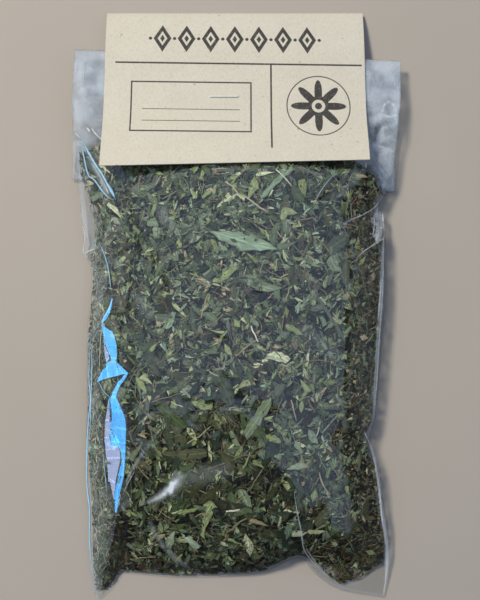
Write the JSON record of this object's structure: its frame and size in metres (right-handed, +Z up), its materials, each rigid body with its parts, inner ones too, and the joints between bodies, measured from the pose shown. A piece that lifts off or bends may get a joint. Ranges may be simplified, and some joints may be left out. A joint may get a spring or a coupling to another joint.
{
  "type": "packet of dried stevia leaf",
  "caption": "Clear film packet filled with dried, cut green leaf, lying on its back, its folded mouth closed by a stapled kraft header card.",
  "frame": {"origin": "on the surface that the packet lies on, under the middle of its bounding box", "axes": "+Y along the packet from its sealed end to the card's fold, +X across it, +Z up from the surface"},
  "size_m": [0.135, 0.2414, 0.03],
  "materials": {
    "clear_film": "gloss, clear, lightly wrinkled",
    "kraft_card": "matte, fine dark flecks",
    "staple_wire": "satin",
    "dried_leaf": "matte, dry, mixed greens with tan stems"
  },
  "bodies": {
    "root": {"bag_film": "clear_film", "header_card": "kraft_card", "staple": "staple_wire", "herb_fill": "dried_leaf"}
  },
  "joints": []
}
